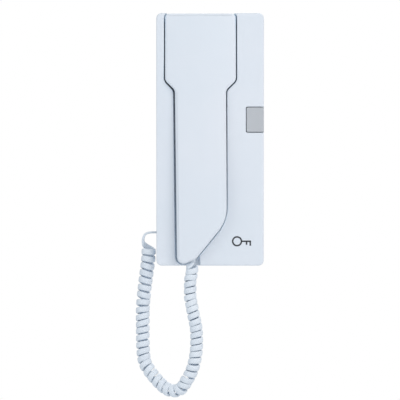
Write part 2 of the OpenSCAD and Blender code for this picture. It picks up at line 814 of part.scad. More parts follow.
// Two wires from the grommet up the grip's right side to the earpiece capsule.
module receiver_leads() {
    end_d = cup_back + shell_t + 1.6 + earpiece_t - 3 + wire_r;
    run_x = ear_x + grip_w / 2 - 6.85;
    color([0.75, 0.20, 0.16])
    for (s = [0, 1.6]) {
        route = [
            [cord_x + 0.6 + s, split_d + 2, grommet_top], [cord_x + 0.6 + s, split_d + 2, grommet_top + 1],
            [cord_x + 3 + s, split_d + 4, z_bot + 15], [ear_x + 6 + s, split_d + 5, z_bot + 28],
            [run_x + s, split_d + 4, z_bot + 44], [run_x + s, split_d + 4, neck_z - 60],
            [run_x + s, split_d + 4, neck_z - 20], [run_x - 3 + s, split_d + 2, neck_z - 4],
            [ear_x + 8 + s, split_d - 2, neck_z + 8],
            [ear_x + 4 + s, end_d, ear_z - 16]
        ];
        tube(route, [for (p = route) wire_r], 6);
    }
}

// Two wires from the grommet to the microphone capsule.
module microphone_leads() {
    color([0.90, 0.90, 0.88])
    for (s = [0, 1.6]) {
        route = [
            [cord_x - 0.8 - s, split_d + 2, grommet_top], [cord_x - 0.8 - s, split_d + 2, grommet_top + 0.8],
            [cord_x - 1.6 - s, split_d + 4, z_bot + 13.6],
            [mic_x + 1.6 - s, hs_back + shell_t + 8.4, mic_z - 2.6],
            [mic_x + 0.8 - s, hs_back + shell_t + 8, mic_z + 0.4]
        ];
        tube(route, [for (p = route) wire_r], 6);
    }
}

// Rubber sleeve clamped between the two shells where the cord enters the foot.
module handset_grommet() {
    color([0.84, 0.86, 0.89]) {
        rod_z(3.1, cord_x, split_d, [grommet_z, z_bot + 8.2]);
        rod_z(2.4, cord_x, split_d, [z_bot + 8.2, grommet_top - 1]);
        rod_z(3.6, cord_x, split_d, [grommet_top - 1, grommet_top]);
    }
}

module cord_base_lead() {
    color(white) tube(base_lead_route, [for (p = base_lead_route) lead_d / 2], 8, [0, 1, 0]);
}

module cord_coil() {
    n = len(coil_route);
    radii = [for (i = [0 : n - 1]) (coil_d[0] + (coil_d[1] - coil_d[0]) * i / (n - 1)) / 2];
    color(white) tube(coil_route, radii, 12);
}

module cord_handset_lead() {
    color(white) tube(handset_lead_route, [for (p = handset_lead_route) lead_d / 2], 8);
}

wall_plate();
front_cover();
cover_screw();
circuit_board();
board_screws();
terminal_block();
terminal_screws();
call_buzzer();
buzzer_disc();
speech_transformer();
capacitors();
resistors();
speech_chip();
hook_switch();
hook_switch_stem();
lever_bracket();
lever_pin();
lever_spring();
hook_lever();
button_switch();
button_switch_stem();
door_button();
cord_socket();
cord_plug();
handset_front_shell();
handset_back_shell();
handset_screws();
earpiece_capsule();
earpiece_gasket();
microphone_capsule();
microphone_boot();
balance_weight();
receiver_leads();
microphone_leads();
handset_grommet();
cord_base_lead();
cord_coil();
cord_handset_lead();
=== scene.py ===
# The finished look of the slim wall telephone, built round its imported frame.
# Lengths are in metres: X runs right, Z up, the wall is the plane Y = 0 and the front faces -Y.
import bpy
import bmesh
import math
import random
from mathutils import Matrix, Vector


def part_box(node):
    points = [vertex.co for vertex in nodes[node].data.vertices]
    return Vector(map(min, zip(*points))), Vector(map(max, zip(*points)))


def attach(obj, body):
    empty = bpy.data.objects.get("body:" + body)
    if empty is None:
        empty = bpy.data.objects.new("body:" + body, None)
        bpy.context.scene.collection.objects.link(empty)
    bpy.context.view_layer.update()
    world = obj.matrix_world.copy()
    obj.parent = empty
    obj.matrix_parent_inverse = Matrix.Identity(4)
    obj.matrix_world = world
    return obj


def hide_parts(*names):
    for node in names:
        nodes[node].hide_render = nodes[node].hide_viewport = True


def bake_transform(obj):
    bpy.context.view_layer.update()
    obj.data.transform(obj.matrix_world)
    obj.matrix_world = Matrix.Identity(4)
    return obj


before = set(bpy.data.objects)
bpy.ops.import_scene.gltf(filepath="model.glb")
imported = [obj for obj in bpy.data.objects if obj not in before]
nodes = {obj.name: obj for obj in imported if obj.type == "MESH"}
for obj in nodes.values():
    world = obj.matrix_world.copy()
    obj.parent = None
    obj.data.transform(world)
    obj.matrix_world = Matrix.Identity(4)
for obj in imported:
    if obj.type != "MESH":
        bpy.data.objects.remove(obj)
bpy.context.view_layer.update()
scene = bpy.context.scene

# ---------------------------------------------------------------- Camera
# A long lens looks straight at the wall from far off, so that the sides of the base hardly show.
view_width = 0.3422
view_distance = 2.4
view_middle = Vector((-0.00864, -0.033, -0.05175))
camera_data = bpy.data.cameras.new("camera")
camera_data.sensor_width = 36
camera_data.lens = camera_data.sensor_width * view_distance / view_width
camera_data.clip_end = 20
camera = bpy.data.objects.new("camera", camera_data)
camera.location = view_middle + Vector((0, -view_distance, 0))
camera.rotation_euler = (math.radians(90), 0, 0)
scene.collection.objects.link(camera)
scene.camera = camera
scene.view_settings.view_transform = "Standard"
scene.cycles.max_bounces = 16
scene.cycles.diffuse_bounces = 12

# ---------------------------------------------------------------- Studio
# A white room, a pale floor below the cord, a large soft light high on the right, a cooler one on
# the left, a faint warm one low on the right and one behind.
white_room = bpy.data.worlds.new("white_room")
white_room.use_nodes = True
room_nodes = white_room.node_tree.nodes
room_links = white_room.node_tree.links
seen_room = room_nodes["Background"]
seen_room.inputs["Color"].default_value = (1, 1, 1, 1)
seen_room.inputs["Strength"].default_value = 1.0
room_light = room_nodes.new("ShaderNodeBackground")
room_light.inputs["Color"].default_value = (0.93, 0.96, 1, 1)
room_light.inputs["Strength"].default_value = 0.62
seen_or_not = room_nodes.new("ShaderNodeMixShader")
ray = room_nodes.new("ShaderNodeLightPath")
room_links.new(ray.outputs["Is Camera Ray"], seen_or_not.inputs["Fac"])
room_links.new(room_light.outputs[0], seen_or_not.inputs[1])
room_links.new(seen_room.outputs[0], seen_or_not.inputs[2])
room_links.new(seen_or_not.outputs[0], room_nodes["World Output"].inputs["Surface"])
scene.world = white_room


def soft_light(name, place, size, watts, colour):
    """A square area light aimed at the middle of the telephone."""
    data = bpy.data.lights.new(name, "AREA")
    data.size = size
    data.energy = watts
    data.color = colour
    light = bpy.data.objects.new(name, data)
    light.location = place
    aim = Vector((0, 0, -0.03)) - Vector(place)
    light.rotation_euler = aim.to_track_quat("-Z", "Y").to_euler()
    scene.collection.objects.link(light)


soft_light("key_light", place=(0.7, -1.1, 0.9), size=0.9, watts=9.0, colour=(1.0, 0.985, 0.975))
soft_light("cool_light", place=(-1.1, -0.9, 0.1), size=0.9, watts=3.0, colour=(0.84, 0.93, 1.0))
soft_light("low_light", place=(0.6, -0.7, -0.35), size=0.5, watts=1.4, colour=(1.0, 0.94, 0.96))
soft_light("back_light", place=(0.2, 1.3, 0.8), size=1.0, watts=6.0, colour=(1.0, 1.0, 1.0))

floor_z = -0.26
floor_mesh = bpy.data.meshes.new("floor")
floor_bm = bmesh.new()
bmesh.ops.create_grid(floor_bm, x_segments=1, y_segments=1, size=0.5)
bmesh.ops.translate(floor_bm, vec=(0, -0.25, floor_z), verts=floor_bm.verts)
floor_bm.to_mesh(floor_mesh)
floor_bm.free()
floor = bpy.data.objects.new("floor", floor_mesh)
scene.collection.objects.link(floor)
floor_paint = bpy.data.materials.new("floor_paint")
floor_paint.use_nodes = True
floor_shader = floor_paint.node_tree.nodes["Principled BSDF"]
floor_shader.inputs["Base Color"].default_value = (0.82, 0.84, 0.86, 1)
floor_shader.inputs["Roughness"].default_value = 0.7
floor_mesh.materials.append(floor_paint)

# ---------------------------------------------------------------- Curly cord
# One length of flat PVC cord. It leaves the plug in the base's left side, arcs down, is wound into
# a close coil that hangs in a loop, and ends in the grommet in the handset's foot.
strand_width = 0.0049
strand_thickness = 0.0025
lead_thinness = 0.75
coil_radius = (0.0062, 0.0053)
coil_pitch = (0.0063, 0.0054)
rings_per_turn = 24
askew_turns = 9
askew_slope = math.tan(math.radians(20))
end_slope = math.tan(math.radians(16))
end_reach = 0.01
uneven = 0.00045
coil_route = [
    (-0.053, -0.014, -0.091), (-0.053, -0.014, -0.097), (-0.0535, -0.0138, -0.105),
    (-0.0555, -0.013, -0.12), (-0.057, -0.0122, -0.133), (-0.058, -0.0117, -0.146),
    (-0.058, -0.0117, -0.159), (-0.058, -0.0117, -0.172), (-0.0575, -0.012, -0.184),
    (-0.056, -0.0126, -0.192), (-0.053, -0.014, -0.1975), (-0.049, -0.0158, -0.203),
    (-0.044, -0.018, -0.2085), (-0.0395, -0.0202, -0.2125), (-0.035, -0.0223, -0.215),
    (-0.0315, -0.0239, -0.2155), (-0.0275, -0.0257, -0.215), (-0.0235, -0.0276, -0.212),
    (-0.0205, -0.029, -0.207), (-0.017, -0.0305, -0.201), (-0.014, -0.031, -0.193),
    (-0.012, -0.031, -0.1825), (-0.0115, -0.031, -0.1715), (-0.012, -0.031, -0.161),
    (-0.014, -0.031, -0.151), (-0.0155, -0.031, -0.143), (-0.017, -0.031, -0.135),
    (-0.017, -0.031, -0.128), (-0.017, -0.031, -0.121), (-0.0155, -0.031, -0.113),
    (-0.0155, -0.031, -0.1068)
]
base_lead_route = [
    (-0.0456, -0.0142, -0.0796), (-0.0485, -0.0142, -0.0796), (-0.052, -0.0141, -0.0798),
    (-0.0552, -0.014, -0.0808), (-0.0573, -0.014, -0.0828), (-0.058, -0.014, -0.0854),
    (-0.0578, -0.014, -0.0884)
]
handset_lead_route = [(-0.0155, -0.031, -0.1058), (-0.0155, -0.031, -0.1044)]


def smooth_line(route, step):
    """Points a step apart along a smooth curve through a route."""
    p = [Vector(q) for q in route]
    close = []
    for i in range(len(p) - 1):
        a = p[max(i - 1, 0)]
        b = p[i]
        c = p[i + 1]
        d = p[min(i + 2, len(p) - 1)]
        for k in range(32):
            t = k / 32
            close.append(0.5 * (2 * b + (c - a) * t + (2 * a - 5 * b + 4 * c - d) * t ** 2
                                + (3 * b - a - 3 * c + d) * t ** 3))
    close.append(p[-1])
    line = [close[0]]
    gone = 0.0
    for a, b in zip(close, close[1:]):
        span = (b - a).length
        while span > 0 and gone + span >= step:
            a = a + (b - a) * ((step - gone) / span)
            line.append(a)
            span = (b - a).length
            gone = 0.0
        gone += span
    return line


# The coil: a helix round the smooth line, clockwise from above on its way down. The first turns
# hang askew, the last one tilts up to the grommet, and every half turn sits a little closer to or
# further from the next one.
random.seed(7)
axis_step = 0.0001
axis = smooth_line(coil_route, axis_step)
last = len(axis) - 1
ahead_steps = 8
half_turn_push = [random.uniform(-1, 1) for k in range(80)]
across = Vector((-1, 0, 0))
angle = 0.0
next_ring = 0.0
strand = []
for i in range(ahead_steps, last - ahead_steps):
    along = i / last
    heading = (axis[i + ahead_steps] - axis[i - ahead_steps]).normalized()
    across = (across - heading * across.dot(heading)).normalized()
    beside = heading.cross(across)
    pitch = coil_pitch[0] + (coil_pitch[1] - coil_pitch[0]) * along
    angle += 2 * math.pi * axis_step / pitch
    if angle < next_ring:
        continue
    next_ring += 2 * math.pi / rings_per_turn
    turns = angle / (2 * math.pi)
    outward = across * math.cos(angle) + beside * math.sin(angle)
    radius = coil_radius[0] + (coil_radius[1] - coil_radius[0]) * along - strand_thickness / 2
    askew = askew_slope * max(0.0, min(1.0, (askew_turns - turns) / 2))
    lean = end_slope * max(0.0, 1 - (last - i) * axis_step / end_reach)
    half = int(turns * 2)
    share = turns * 2 - half
    ease = share * share * (3 - 2 * share)
    this_push = half_turn_push[half % len(half_turn_push)]
    next_push = half_turn_push[(half + 1) % len(half_turn_push)]
    push = uneven * (this_push * (1 - ease) + next_push * ease)
    centre = axis[i] + outward * radius
    centre += heading * (push + (askew + lean) * (centre - axis[i]).x)
    strand.append((centre, outward))

# The whole cord's line: the lead out of the plug, the coil and the end that goes into the grommet.
# The joins on both sides of the coil are eased, each point towards the middle of its neighbours.
lead = smooth_line(base_lead_route, 0.0012)
tail = smooth_line([strand[-1][0]] + handset_lead_route, 0.0006)[1:]
line = lead[:-1] + [centre for centre, outward in strand] + tail
face_way = [None] * (len(lead) - 1) + [outward for centre, outward in strand] + [None] * len(tail)
join_points = 6
end_points = 4
for again in range(6):
    for i in range(len(lead) - join_points, len(lead) + join_points):
        line[i] = (line[i - 1] + line[i] * 2 + line[i + 1]) / 4
eased_from = len(line) - len(tail) - end_points
for again in range(16):
    for i in range(eased_from, len(line) - 1):
        share = min(1.0, (i - eased_from + 1) / end_points) / 2
        line[i] = line[i] * (1 - share) + (line[i - 1] + line[i + 1]) * share / 2

# The strand: a ring drawn along the line. The ring is turned so that the strand's flat face is on
# the coil's outside. The two layers give the distance along the strand and the place across it.
cord_bm = bmesh.new()
along_layer = cord_bm.verts.layers.float.new("along")
across_layer = cord_bm.verts.layers.float.new("across")
ring = bmesh.ops.create_circle(cord_bm, segments=16, radius=1)["verts"]
for vert in ring:
    # A flat oval with full edges: X is its width and Y its thickness.
    x = math.copysign(abs(vert.co.x) ** 0.55, vert.co.x)
    y = math.copysign(abs(vert.co.y) ** 0.7, vert.co.y)
    vert.co = (x * strand_width / 2, y * strand_thickness / 2, 0)
    vert[across_layer] = x
edges = list({edge for vert in ring for edge in vert.link_edges})
first_ring = list(edges)
before = Matrix.Identity(4)
out = Vector((0, 0, 1))
gone = 0.0
for i, point in enumerate(line):
    ahead = line[min(i + 1, len(line) - 1)]
    behind = line[max(i - 1, 0)]
    heading = (ahead - behind).normalized()
    out = face_way[i] or out
    out = (out - heading * out.dot(heading)).normalized()
    wide = out.cross(heading)
    place = Matrix((wide, out, heading)).transposed().to_4x4()
    place.translation = point
    into_coil = max(0.0, min(1.0, (i - len(lead) + 8) / 8))
    place = place @ Matrix.Scale(lead_thinness + (1 - lead_thinness) * into_coil, 4, (0, 1, 0))
    if i > 0:
        made = bmesh.ops.extrude_edge_only(cord_bm, edges=edges)["geom"]
        ring = [item for item in made if isinstance(item, bmesh.types.BMVert)]
        fresh = set(ring)
        edges = [item for item in made if isinstance(item, bmesh.types.BMEdge)
                 and item.verts[0] in fresh and item.verts[1] in fresh]
        gone += (point - line[i - 1]).length
    bmesh.ops.transform(cord_bm, matrix=place @ before.inverted(), verts=ring)
    before = place
    for vert in ring:
        vert[along_layer] = gone
bmesh.ops.holes_fill(cord_bm, edges=first_ring + edges, sides=0)
bmesh.ops.recalc_face_normals(cord_bm, faces=cord_bm.faces)
for face in cord_bm.faces:
    face.smooth = True
cord_mesh = bpy.data.meshes.new("curly_cord")
cord_bm.to_mesh(cord_mesh)
cord_bm.free()
cord = bpy.data.objects.new("curly_cord", cord_mesh)
scene.collection.objects.link(cord)


def noise_value(tree, scale, detail=3.0, stretch=(1, 1, 1), source=None):
    """A noise texture on object coordinates, or on a given vector, and its value."""
    if source is None:
        source = tree.nodes.new("ShaderNodeTexCoord").outputs["Object"]
    mapping = tree.nodes.new("ShaderNodeMapping")
    mapping.inputs["Scale"].default_value = stretch
    tree.links.new(source, mapping.inputs["Vector"])
    noise = tree.nodes.new("ShaderNodeTexNoise")
    noise.inputs["Scale"].default_value = scale
    noise.inputs["Detail"].default_value = detail
    tree.links.new(mapping.outputs["Vector"], noise.inputs["Vector"])
    return noise.outputs["Fac"]


def ranged(tree, value, from_low, from_high, to_low, to_high):
    """A value mapped from one range to another, and held inside it."""
    node = tree.nodes.new("ShaderNodeMapRange")
    node.inputs["From Min"].default_value = from_low
    node.inputs["From Max"].default_value = from_high
    node.inputs["To Min"].default_value = to_low
    node.inputs["To Max"].default_value = to_high
    tree.links.new(value, node.inputs["Value"])
    return node.outputs["Result"]


def mixed(tree, value, colour_a, colour_b):
    """A colour between two others. Each is three numbers or a socket."""
    node = tree.nodes.new("ShaderNodeMix")
    node.data_type = "RGBA"
    tree.links.new(value, node.inputs["Factor"])
    for colour, name in ((colour_a, "A"), (colour_b, "B")):
        socket = [s for s in node.inputs if s.name == name and s.type == "RGBA"][0]
        if isinstance(colour, bpy.types.NodeSocket):
            tree.links.new(colour, socket)
        else:
            socket.default_value = (*colour, 1)
    return [s for s in node.outputs if s.type == "RGBA"][0]


def new_group(name, inputs, outputs):
    """A shader node group with named number inputs and outputs, and its two end nodes."""
    group = bpy.data.node_groups.new(name, "ShaderNodeTree")
    for title, kind, value in inputs:
        socket = group.interface.new_socket(title, in_out="INPUT", socket_type=kind)
        socket.default_value = value
    for title, kind in outputs:
        group.interface.new_socket(title, in_out="OUTPUT", socket_type=kind)
    return group, group.nodes.new("NodeGroupInput"), group.nodes.new("NodeGroupOutput")


# An occlusion mask, 1 in a corner and 0 in the open, in patches. It lays dust and tarnish into some parts
# and painted shade and painted light into others.
corner_dust_and_painted_light, corner_in, corner_out = new_group(
    "corner_dust_and_painted_light",
    [("Distance", "NodeSocketFloat", 0.002), ("Amount", "NodeSocketFloat", 0.5)],
    [("Mask", "NodeSocketFloat")])
corner_ao = corner_dust_and_painted_light.nodes.new("ShaderNodeAmbientOcclusion")
corner_ao.samples = 6
corner_dust_and_painted_light.links.new(corner_in.outputs["Distance"], corner_ao.inputs["Distance"])
corner_open = ranged(corner_dust_and_painted_light, corner_ao.outputs["AO"], 0.35, 0.9, 1.0, 0.0)
corner_patch = ranged(corner_dust_and_painted_light, noise_value(corner_dust_and_painted_light, 900, 4), 0.3, 0.7, 0.5, 1.0)
corner_patched = corner_dust_and_painted_light.nodes.new("ShaderNodeMath")
corner_patched.operation = "MULTIPLY"
corner_dust_and_painted_light.links.new(corner_open, corner_patched.inputs[0])
corner_dust_and_painted_light.links.new(corner_patch, corner_patched.inputs[1])
corner_scaled = corner_dust_and_painted_light.nodes.new("ShaderNodeMath")
corner_scaled.operation = "MULTIPLY"
corner_dust_and_painted_light.links.new(corner_patched.outputs[0], corner_scaled.inputs[0])
corner_dust_and_painted_light.links.new(corner_in.outputs["Amount"], corner_scaled.inputs[1])
corner_dust_and_painted_light.links.new(corner_scaled.outputs[0], corner_out.inputs["Mask"])


def new_material(name):
    """A material with its node tree and its Principled BSDF."""
    material = bpy.data.materials.new(name)
    material.use_nodes = True
    return material, material.node_tree, material.node_tree.nodes["Principled BSDF"]


def group_value(tree, group, **values):
    """Places a node group in a material with its own values, and returns its first output."""
    node = tree.nodes.new("ShaderNodeGroup")
    node.node_tree = group
    for title, value in values.items():
        node.inputs[title].default_value = value
    return node.outputs[0]


def bumped(tree, shader, height, strength, distance):
    """Feeds a height through a Bump node to the shader's normal."""
    bump = tree.nodes.new("ShaderNodeBump")
    bump.inputs["Strength"].default_value = strength
    bump.inputs["Distance"].default_value = distance
    tree.links.new(height, bump.inputs["Height"])
    tree.links.new(bump.outputs["Normal"], shader.inputs["Normal"])


# Soft white PVC: faint flow lines along the cord, a duller edge and painted shade between the turns, a
# darker grey-blue laid in through the corner mask.
cord_sheath, tree, shader = new_material("cord_sheath")
along_value = tree.nodes.new("ShaderNodeAttribute")
along_value.attribute_name = "along"
across_value = tree.nodes.new("ShaderNodeAttribute")
across_value.attribute_name = "across"
cord_way = tree.nodes.new("ShaderNodeCombineXYZ")
tree.links.new(along_value.outputs["Fac"], cord_way.inputs["X"])
tree.links.new(across_value.outputs["Fac"], cord_way.inputs["Y"])
flow = noise_value(tree, 9, 3, (6, 1.2, 1), cord_way.outputs["Vector"])
shade = noise_value(tree, 60, 3)
shade_mask = ranged(tree, shade, 0.35, 0.65, 0, 1)
sheath_colour = mixed(tree, shade_mask, (0.73, 0.785, 0.845), (0.78, 0.83, 0.88))
# Painted shade: the corner mask darkens the cord where its turns close in on each other.
dust_and_painted_light = group_value(tree, corner_dust_and_painted_light, Distance=0.0014, Amount=0.4)
tree.links.new(mixed(tree, dust_and_painted_light, sheath_colour, (0.42, 0.46, 0.50)), shader.inputs["Base Color"])
tree.links.new(ranged(tree, flow, 0.3, 0.7, 0.36, 0.5), shader.inputs["Roughness"])
bumped(tree, shader, flow, 0.2, 0.0002)
shader.inputs["Specular IOR Level"].default_value = 0.4
cord_mesh.materials.append(cord_sheath)
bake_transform(cord)
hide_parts("cord_base_lead", "cord_coil", "cord_handset_lead")

# ---------------------------------------------------------------- Front cover
# One moulding of white ABS. The skin is made first: the two front faces either side of the
# handset's recess, the recess drawn back from them, then the outer walls down to the wall plate.
cover_lo, cover_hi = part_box("front_cover")
base_left = cover_lo.x
base_right = cover_hi.x
base_bottom = cover_lo.z
base_top = cover_hi.z
back_edge = cover_hi.y
front_at_top = cover_lo.y
front_at_bottom = -0.029
front_corner = 0.0046
roll_width = (0.0016, 0.0030)
roll_drop = (0.00035, 0.0010)
cover_wall = 0.0022
recess_bottom = -0.107
grip_floor = -0.024
ear_floor = -0.012
ear_step_z = 0.0432
button_left = 0.0307
button_z = (0.00595, 0.02785)
notch_floor = -0.021
mouth_x = (-0.0222, -0.0087)
same_place = 1e-6
weld = 2e-6


def front_y(z):
    """Y of the base's sloping front at a height."""
    share = (z - base_bottom) / (base_top - base_bottom)
    return front_at_bottom + (front_at_top - front_at_bottom) * share


def rolled_off(x, z):
    """How far the front falls back near its outline: broad along the top, narrow down the sides."""
    beside = max(0.0, abs(x) - (base_right - front_corner))
    above = max(0.0, z - (base_top - front_corner), base_bottom + front_corner - z)
    inside = front_corner - math.hypot(beside, above)
    top_share = max(0.0, min(1.0, (z - base_top + front_corner) / front_corner))
    width = roll_width[0] + (roll_width[1] - roll_width[0]) * top_share
    drop = roll_drop[0] + (roll_drop[1] - roll_drop[0]) * top_share
    return drop * max(0.0, 1 - max(inside, 0.0) / width) ** 2


def rounded_face(bm, corners):
    """A flat face in X and Z. Each corner is its x, z and radius in millimetres."""
    verts = [bm.verts.new((x / 1000, 0, z / 1000)) for x, z, radius in corners]
    bm.faces.new(verts)
    places = [vert.co.copy() for vert in verts]
    for i, (x, z, radius) in enumerate(corners):
        if radius == 0:
            continue
        come = (places[i] - places[i - 1]).normalized()
        go = (places[(i + 1) % len(places)] - places[i]).normalized()
        reach = radius / 1000 * math.tan(come.angle(go) / 2)
        bmesh.ops.bevel(bm, geom=[verts[i]], offset=reach, offset_type="OFFSET", segments=8,
                        profile=0.5, affect="VERTICES", material=-1)


def new_piece(name, bm, body, material, smooth_under=35):
    """Makes a mesh object of a bmesh, smooth except at its sharp edges, riding on a body."""
    for face in bm.faces:
        face.smooth = True
    for edge in bm.edges:
        at_rim = len(edge.link_faces) < 2
        edge.smooth = at_rim or edge.calc_face_angle() < math.radians(smooth_under)
    mesh = bpy.data.meshes.new(name)
    bm.to_mesh(mesh)
    bm.free()
    mesh.materials.append(material)
    piece = bpy.data.objects.new(name, mesh)
    scene.collection.objects.link(piece)
    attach(piece, body)
    return piece


def drawn_back(bm, edges, y):
    """Extrudes edges straight back to a given Y, welds what meets and returns the new edges."""
    made = bmesh.ops.extrude_edge_only(bm, edges=edges)["geom"]
    for item in made:
        if isinstance(item, bmesh.types.BMVert):
            item.co.y = y
    bmesh.ops.remove_doubles(bm, verts=bm.verts, dist=weld)
    return edges_at(bm, y)


def edges_at(bm, y):
    """Open edges that lie at a given Y."""
    return [edge for edge in bm.edges
            if edge.is_boundary and all(abs(v.co.y - y) < same_place for v in edge.verts)]


# The outlines of the two front faces and of the recess between them, all in millimetres.
left = base_left * 1000
right = base_right * 1000
bottom = base_bottom * 1000
top = base_top * 1000
corner = front_corner * 1000
notch_left = button_left * 1000
notch_bottom = button_z[0] * 1000
notch_top = button_z[1] * 1000
recess_left = [
    (-37.19, top, 0), (-39.45, 106.7, 4.3), (-39.45, 49.9, 6.5), (-31.5, 41.6, 4.6),
    (-29.7, recess_bottom * 1000, 6.4), (mouth_x[0] * 1000, recess_bottom * 1000, 0.4)
]
recess_right = [
    (-9.15, -99.45, 2.4), (14.75, -70.0, 30), (14.45, 41.6, 4.6), (22.95, 49.9, 6.5),
    (22.95, 106.7, 4.3), (20.69, top, 0)
]
mouth = [(mouth_x[0] * 1000, bottom, 0), (mouth_x[1] * 1000, bottom, 0)]
right_side = [
    (right, top, corner), (right, notch_top, 0), (notch_left, notch_top, 1.3),
    (notch_left, notch_bottom, 1.3), (right, notch_bottom, 0), (right, bottom, corner)
]
left_side = [(left, bottom, corner), (left, top, corner)]
cover_bm = bmesh.new()
rounded_face(cover_bm, recess_left + [mouth[0]] + left_side)
rounded_face(cover_bm, recess_right + right_side + [mouth[1]])
front_faces = list(cover_bm.faces)
rounded_face(cover_bm, recess_left + mouth + recess_right)
recess = [face for face in cover_bm.faces if face not in front_faces]
bmesh.ops.remove_doubles(cover_bm, verts=cover_bm.verts, dist=weld)

# A fine round along every edge of the front faces, then cuts near the outline for its broader roll.
rim_round = 0.0009
rim_steps = 4
tip_height = 0.006
tip_slope = 1.4
left_tip = -0.0372
right_tip = 0.0207
strip_middle = (recess_bottom + base_bottom) / 2
strip_x = (-0.0305, -0.0215)
strip_groove = 0.00004


def quarter_round(bm, face, radius, step, steps):
    """Insets a face by one step of a quarter round, and returns the angle it has come to."""
    turn = math.pi / 2 * step / steps
    before = math.pi / 2 * (step - 1) / steps
    bmesh.ops.inset_region(bm, faces=[face], use_boundary=True, use_even_offset=True,
                           thickness=radius * (math.cos(before) - math.cos(turn)))
    return turn


def hold_in_tips(vert, reach):
    """Keeps a vertex inside the points in which the front runs out beside the recess's top."""
    if vert.co.z <= base_top - tip_height:
        return
    vert.co.z = min(vert.co.z, base_top - reach)
    if vert.co.x < 0:
        vert.co.x = min(vert.co.x, left_tip - tip_slope * reach)
    else:
        vert.co.x = max(vert.co.x, right_tip + tip_slope * reach)


def hold_in_strip(vert, ring):
    """Stops the two rounds halfway on the narrow strip that is left below the handset's foot."""
    neighbours = [edge.other_vert(vert) for edge in vert.link_edges]
    outer = [other for other in neighbours if other not in ring]
    beside_strip = strip_x[0] < vert.co.x < strip_x[1] and vert.co.z < recess_bottom + 0.0001
    if not (beside_strip and outer):
        return
    if outer[0].co.z > strip_middle:
        vert.co.z = max(vert.co.z, strip_middle + strip_groove)
    else:
        vert.co.z = min(vert.co.z, strip_middle - strip_groove)


for vert in cover_bm.verts:
    vert.co.y = rim_round
for front_face in front_faces:
    if front_face.normal.y > 0:
        front_face.normal_flip()
    for step in range(1, rim_steps + 1):
        turn = quarter_round(cover_bm, front_face, rim_round, step, rim_steps)
        ring = set(front_face.verts)
        for vert in ring:
            vert.co.y = rim_round * (1 - math.sin(turn))
            hold_in_tips(vert, rim_round * (1 - math.cos(turn)))
            hold_in_strip(vert, ring)


def cut_by(bm, faces, cuts):
    """Cuts faces along planes, each a point and a normal, and returns what they are cut into."""
    for point, normal in cuts:
        geom = {item for face in faces for item in [face, *face.edges, *face.verts]}
        made = bmesh.ops.bisect_plane(bm, geom=list(geom), plane_co=point, plane_no=normal)["geom"]
        faces = [item for item in made if isinstance(item, bmesh.types.BMFace)]
    return faces


roll_cuts = [((0, 0, base_top - inside), (0, 0, 1))
             for inside in (0.0009, 0.0012, 0.0016, 0.0020, 0.0024, 0.0030)]
for inside in (0.0009, 0.0012, 0.0016):
    roll_cuts.append(((0, 0, base_bottom + inside), (0, 0, 1)))
    roll_cuts.append(((base_left + inside, 0, 0), (1, 0, 0)))
    roll_cuts.append(((base_right - inside, 0, 0), (1, 0, 0)))
cut_by(cover_bm, front_faces, roll_cuts)
for vert in cover_bm.verts:
    vert.co.y += front_y(vert.co.z) + rolled_off(vert.co.x, vert.co.z)


def rim_foot(vert):
    """True for a vertex at the foot of the round along the front faces' edges."""
    foot = front_y(vert.co.z) + rolled_off(vert.co.x, vert.co.z) + rim_round
    return abs(vert.co.y - foot) < 2 * same_place


def pushed_in(bm, faces, y):
    """Moves a region of faces back to a given Y, with walls round it but none at its open ends."""
    made = bmesh.ops.extrude_face_region(bm, geom=faces)["geom"]
    bmesh.ops.delete(bm, geom=[face for face in faces if face.is_valid], context="FACES_ONLY")
    floor_faces = [item for item in made if isinstance(item, bmesh.types.BMFace)]
    for item in made:
        if isinstance(item, bmesh.types.BMVert):
            item.co.y = y
    ends = [face for face in bm.faces if face not in floor_faces
            and (all(abs(v.co.z - base_top) < same_place for v in face.verts)
                 or all(abs(v.co.z - base_bottom) < same_place for v in face.verts))]
    bmesh.ops.delete(bm, geom=ends, context="FACES")
    return floor_faces


# The recess: straight walls back to the grip's floor, then further back for the ear part.
recess = pushed_in(cover_bm, recess, grip_floor)
recess = cut_by(cover_bm, recess, [((0, 0, ear_step_z), (0, 0, 1))])
ear_recess = [face for face in recess if face.calc_center_median().z > ear_step_z]
pushed_in(cover_bm, ear_recess, ear_floor)


def in_notch(vert):
    """True for a vertex on the outline of the door button's notch."""
    return (button_left - same_place < vert.co.x < base_right + same_place
            and button_z[0] - same_place < vert.co.z < button_z[1] + same_place)


# The outer walls, in stages, so that they join the recess at its open ends and pass the notch.
# Behind the notch a new edge closes the outline.
outline = [edge for edge in cover_bm.edges if edge.is_boundary and all(rim_foot(v) for v in edge.verts)]
outline = [edge for edge in outline if not all(in_notch(v) for v in edge.verts)]
drawn_back(cover_bm, outline, grip_floor)
drawn_back(cover_bm, edges_at(cover_bm, grip_floor), notch_floor)
notch_ends = [vert for vert in cover_bm.verts
              if abs(vert.co.y - notch_floor) < same_place and abs(vert.co.x - base_right) < same_place
              and min(abs(vert.co.z - z) for z in button_z) < same_place]
cover_bm.edges.new(notch_ends)
outline = [edge for edge in cover_bm.edges if len(edge.link_faces) < 2
           and all(abs(v.co.y - notch_floor) < same_place for v in edge.verts)]
drawn_back(cover_bm, outline, ear_floor)
drawn_back(cover_bm, edges_at(cover_bm, ear_floor), back_edge)

# A short flange round the notch for the door button.
notch = [edge for edge in cover_bm.edges if edge.is_boundary and all(rim_foot(v) for v in edge.verts)]
made = bmesh.ops.extrude_edge_only(cover_bm, edges=notch)["geom"]
bmesh.ops.translate(cover_bm, vec=(0, cover_wall, 0),
                    verts=[item for item in made if isinstance(item, bmesh.types.BMVert)])
bmesh.ops.recalc_face_normals(cover_bm, faces=cover_bm.faces)


